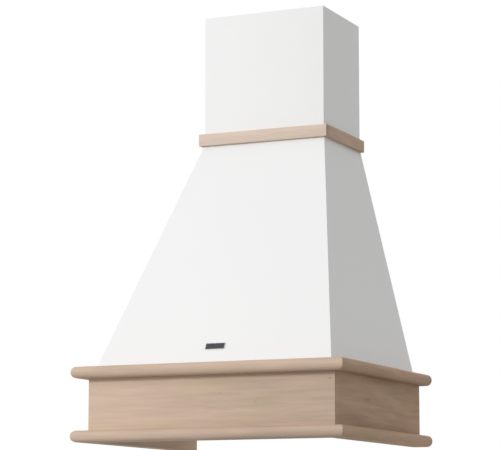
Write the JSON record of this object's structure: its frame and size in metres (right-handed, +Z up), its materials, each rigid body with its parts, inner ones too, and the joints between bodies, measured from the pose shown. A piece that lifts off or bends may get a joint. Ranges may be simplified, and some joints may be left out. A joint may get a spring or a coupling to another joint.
{
  "type": "wooden range hood cover",
  "caption": "Wall-hung range hood: white sheet canopy and chimney cover over a raw timber frame with bullnose mouldings, with a collar, filters, lamps, buttons and a blower inside.",
  "frame": {"origin": "on the wall plane, midway between the back plate's two hanging keyholes, 560 mm above the timber frame's bottom edge", "axes": "+X to the hood's right as seen from the room, +Y into the wall, so the front faces -Y, and +Z up"},
  "size_m": [0.6, 0.5085, 0.9335],
  "materials": {
    "timber": "raw, sanded, unvarnished",
    "white_paint": "satin",
    "galvanised": "galvanised, dull",
    "aluminium": "bare",
    "steel": "brushed",
    "black_plastic": "fine texture",
    "grey_plastic": "fine texture",
    "frosted_lens": "frosted",
    "dark_enamel": "dark plate with a bright edge",
    "cable": "matt"
  },
  "bodies": {
    "hood": {"lower_moulding_front": "timber", "lower_moulding_left": "timber", "lower_moulding_right": "timber", "upper_moulding_front": "timber", "upper_moulding_left": "timber", "upper_moulding_right": "timber", "frieze_front": "timber", "frieze_left": "timber", "frieze_right": "timber", "glue_block_left": "timber", "glue_block_right": "timber", "collar_front": "timber", "collar_left": "timber", "collar_right": "timber", "canopy_front_panel": "white_paint", "canopy_left_panel": "white_paint", "canopy_right_panel": "white_paint", "back_plate": "galvanised", "badge_plate": "dark_enamel", "chimney_cover": "white_paint", "chimney_bracket": "galvanised", "liner_front": "galvanised", "liner_left": "galvanised", "liner_right": "galvanised", "deck_plate": "white_paint", "lamp_housing_left": "steel", "lamp_housing_right": "steel", "lamp_lens_left": "frosted_lens", "lamp_lens_right": "frosted_lens", "switch_bezel": "black_plastic", "switch_box": "grey_plastic", "blower_shelf": "galvanised", "blower_casing_left": "black_plastic", "blower_casing_right": "black_plastic", "motor": "galvanised", "motor_bearing_inner": "steel", "motor_bearing_outer": "steel", "motor_spider": "galvanised", "outlet_spigot": "black_plastic", "damper_pin": "steel", "control_box": "grey_plastic", "capacitor": "aluminium", "mains_gland": "black_plastic", "motor_lead": "cable"},
    "rotor": {"impeller": "grey_plastic", "motor_shaft": "steel"},
    "flap_front": {"damper_flap_front": "black_plastic"},
    "flap_back": {"damper_flap_back": "black_plastic"},
    "filter_left": {"filter_rim_left": "aluminium", "filter_mesh_left": "aluminium"},
    "filter_right": {"filter_rim_right": "aluminium", "filter_mesh_right": "aluminium"},
    "latch_left": {"filter_latch_left": "black_plastic"},
    "latch_right": {"filter_latch_right": "black_plastic"},
    "light_button": {"button_light": "grey_plastic"},
    "off_button": {"button_off": "grey_plastic"},
    "speed_1_button": {"button_speed_1": "grey_plastic"},
    "speed_2_button": {"button_speed_2": "grey_plastic"},
    "speed_3_button": {"button_speed_3": "grey_plastic"}
  },
  "joints": [
    {"name": "filter_left_hinge", "type": "hinge", "parent": "hood", "child": "filter_left", "pos_m": [-0.11875, -0.072, -0.4976], "axis": [1, 0, 0], "range_deg": [0, 75]},
    {"name": "filter_right_hinge", "type": "hinge", "parent": "hood", "child": "filter_right", "pos_m": [0.11875, -0.072, -0.4976], "axis": [1, 0, 0], "range_deg": [0, 75]},
    {"name": "latch_left_slide", "type": "slide", "parent": "filter_left", "child": "latch_left", "axis": [0, 1, 0], "range_m": [0, 0.006], "stiffness_N_per_m": 200, "springref_m": -0.004},
    {"name": "latch_right_slide", "type": "slide", "parent": "filter_right", "child": "latch_right", "axis": [0, 1, 0], "range_m": [0, 0.006], "stiffness_N_per_m": 200, "springref_m": -0.004},
    {"name": "light_button_press", "type": "slide", "parent": "hood", "child": "light_button", "axis": [0, 0, 1], "range_m": [0, 0.0025], "stiffness_N_per_m": 600, "springref_m": -0.001},
    {"name": "off_button_press", "type": "slide", "parent": "hood", "child": "off_button", "axis": [0, 0, 1], "range_m": [0, 0.0025], "stiffness_N_per_m": 600, "springref_m": -0.001},
    {"name": "speed_1_button_press", "type": "slide", "parent": "hood", "child": "speed_1_button", "axis": [0, 0, 1], "range_m": [0, 0.0025], "stiffness_N_per_m": 600, "springref_m": -0.001},
    {"name": "speed_2_button_press", "type": "slide", "parent": "hood", "child": "speed_2_button", "axis": [0, 0, 1], "range_m": [0, 0.0025], "stiffness_N_per_m": 600, "springref_m": -0.001},
    {"name": "speed_3_button_press", "type": "slide", "parent": "hood", "child": "speed_3_button", "axis": [0, 0, 1], "range_m": [0, 0.0025], "stiffness_N_per_m": 600, "springref_m": -0.001},
    {"name": "impeller_spin", "type": "hinge", "parent": "hood", "child": "rotor", "pos_m": [0, -0.185, -0.298], "axis": [1, 0, 0], "continuous": true},
    {"name": "flap_front_hinge", "type": "hinge", "parent": "hood", "child": "flap_front", "pos_m": [0, -0.10832, -0.129], "axis": [-1, 0, 0], "range_deg": [0, 75]},
    {"name": "flap_back_hinge", "type": "hinge", "parent": "hood", "child": "flap_back", "pos_m": [0, -0.10832, -0.129], "axis": [1, 0, 0], "range_deg": [0, 75]}
  ]
}
